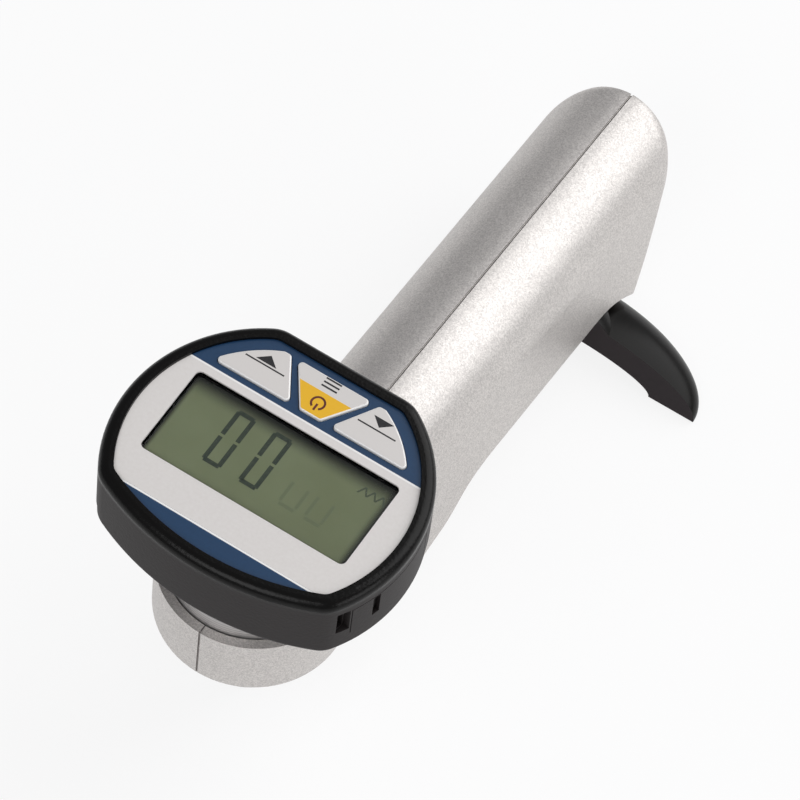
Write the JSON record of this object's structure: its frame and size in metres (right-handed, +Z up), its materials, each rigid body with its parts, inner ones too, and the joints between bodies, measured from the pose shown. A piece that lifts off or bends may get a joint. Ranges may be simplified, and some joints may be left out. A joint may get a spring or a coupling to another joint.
{
  "type": "hardness tester",
  "caption": "Handheld indentation hardness tester: round display head on a collar, cast two-part handle, arched rear leg, sprung indenter plunger.",
  "frame": {"origin": "centre of the nose face, on the plane that nose and feet stand on", "axes": "+Z up along the plunger, +Y back along the handle, +X to the side with the battery drawer"},
  "size_m": [0.0751, 0.166, 0.0806],
  "materials": {
    "silver_paint": "fine silver metallic paint, satin",
    "collar_metal": "fine turned, satin",
    "cast_frame": "as cast",
    "black_paint": "black paint, semi-gloss",
    "steel": "ground steel",
    "hard_steel": "hardened steel, polished",
    "spring_steel": "oiled spring steel",
    "brass": "machined",
    "black_screw": "black oxide",
    "case_plastic": "moulded black plastic, polished rim",
    "cover_plastic": "moulded black plastic",
    "label_sheet": "satin grey sheet with two dark blue bands",
    "window_clear": "clear acrylic",
    "white_plastic": "moulded white plastic",
    "display_cell": "grey-green display glass",
    "board_green": "solder mask",
    "key_silver": "silver-grey key cap with clear edge",
    "key_two_tone": "silver-grey key cap with a yellow field",
    "contact_metal": "nickel plated strip",
    "cell_steel": "nickel plated can",
    "socket_black": "moulded black plastic"
  },
  "bodies": {
    "housing": {"board_screws": "steel", "circuit_board": "board_green", "collar_screw": "black_screw", "cover_screws": "black_screw", "data_socket": "socket_black", "display_backlight": "white_plastic", "display_carrier": "white_plastic", "display_glass": "display_cell", "display_window": "window_clear", "face_overlay": "label_sheet", "frame": "cast_frame", "gauge_back_cover": "cover_plastic", "gauge_case": "case_plastic", "gauge_collar": "collar_metal", "gauge_stem": "steel", "housing_left": "silver_paint", "housing_right": "silver_paint", "housing_screws": "black_screw", "key_domes": "contact_metal", "leg_screws": "black_screw", "load_screw": "brass", "load_spring": "spring_steel", "lock_nut": "steel", "lower_contact": "contact_metal", "point_sleeve": "steel", "rear_leg": "black_paint", "socket_pins": "contact_metal", "travel_sensor": "socket_black", "upper_contact": "contact_metal"},
    "plunger": {"plunger": "steel", "indenter_point": "hard_steel"},
    "spindle": {"gauge_spindle": "steel", "contact_tip": "hard_steel", "encoder_scale": "board_green"},
    "left_key": {"key_left": "key_silver"},
    "middle_key": {"key_middle": "key_two_tone"},
    "right_key": {"key_right": "key_silver"},
    "drawer": {"battery_drawer": "cover_plastic", "coin_cell": "cell_steel"}
  },
  "joints": [
    {"name": "plunger_slide", "type": "slide", "parent": "housing", "child": "plunger", "axis": [0, 0, 1], "range_m": [0, 0.00076], "stiffness_N_per_m": 10000, "springref_m": -0.005, "deforming": ["load_spring"]},
    {"name": "spindle_slide", "type": "slide", "parent": "housing", "child": "spindle", "axis": [0, 0, 1], "range_m": [0, 0.00076]},
    {"name": "left_key_press", "type": "slide", "parent": "housing", "child": "left_key", "axis": [0, 0, -1], "range_m": [0, 0.0004], "stiffness_N_per_m": 2000, "springref_m": -0.0004},
    {"name": "middle_key_press", "type": "slide", "parent": "housing", "child": "middle_key", "axis": [0, 0, -1], "range_m": [0, 0.0004], "stiffness_N_per_m": 2000, "springref_m": -0.0004},
    {"name": "right_key_press", "type": "slide", "parent": "housing", "child": "right_key", "axis": [0, 0, -1], "range_m": [0, 0.0004], "stiffness_N_per_m": 2000, "springref_m": -0.0004},
    {"name": "drawer_slide", "type": "slide", "parent": "housing", "child": "drawer", "axis": [0.986, -0.1668, 0], "range_m": [0, 0.022]}
  ],
  "couplings": [
    {"joint": "spindle_slide", "follows": "plunger_slide", "ratio": 1}
  ]
}
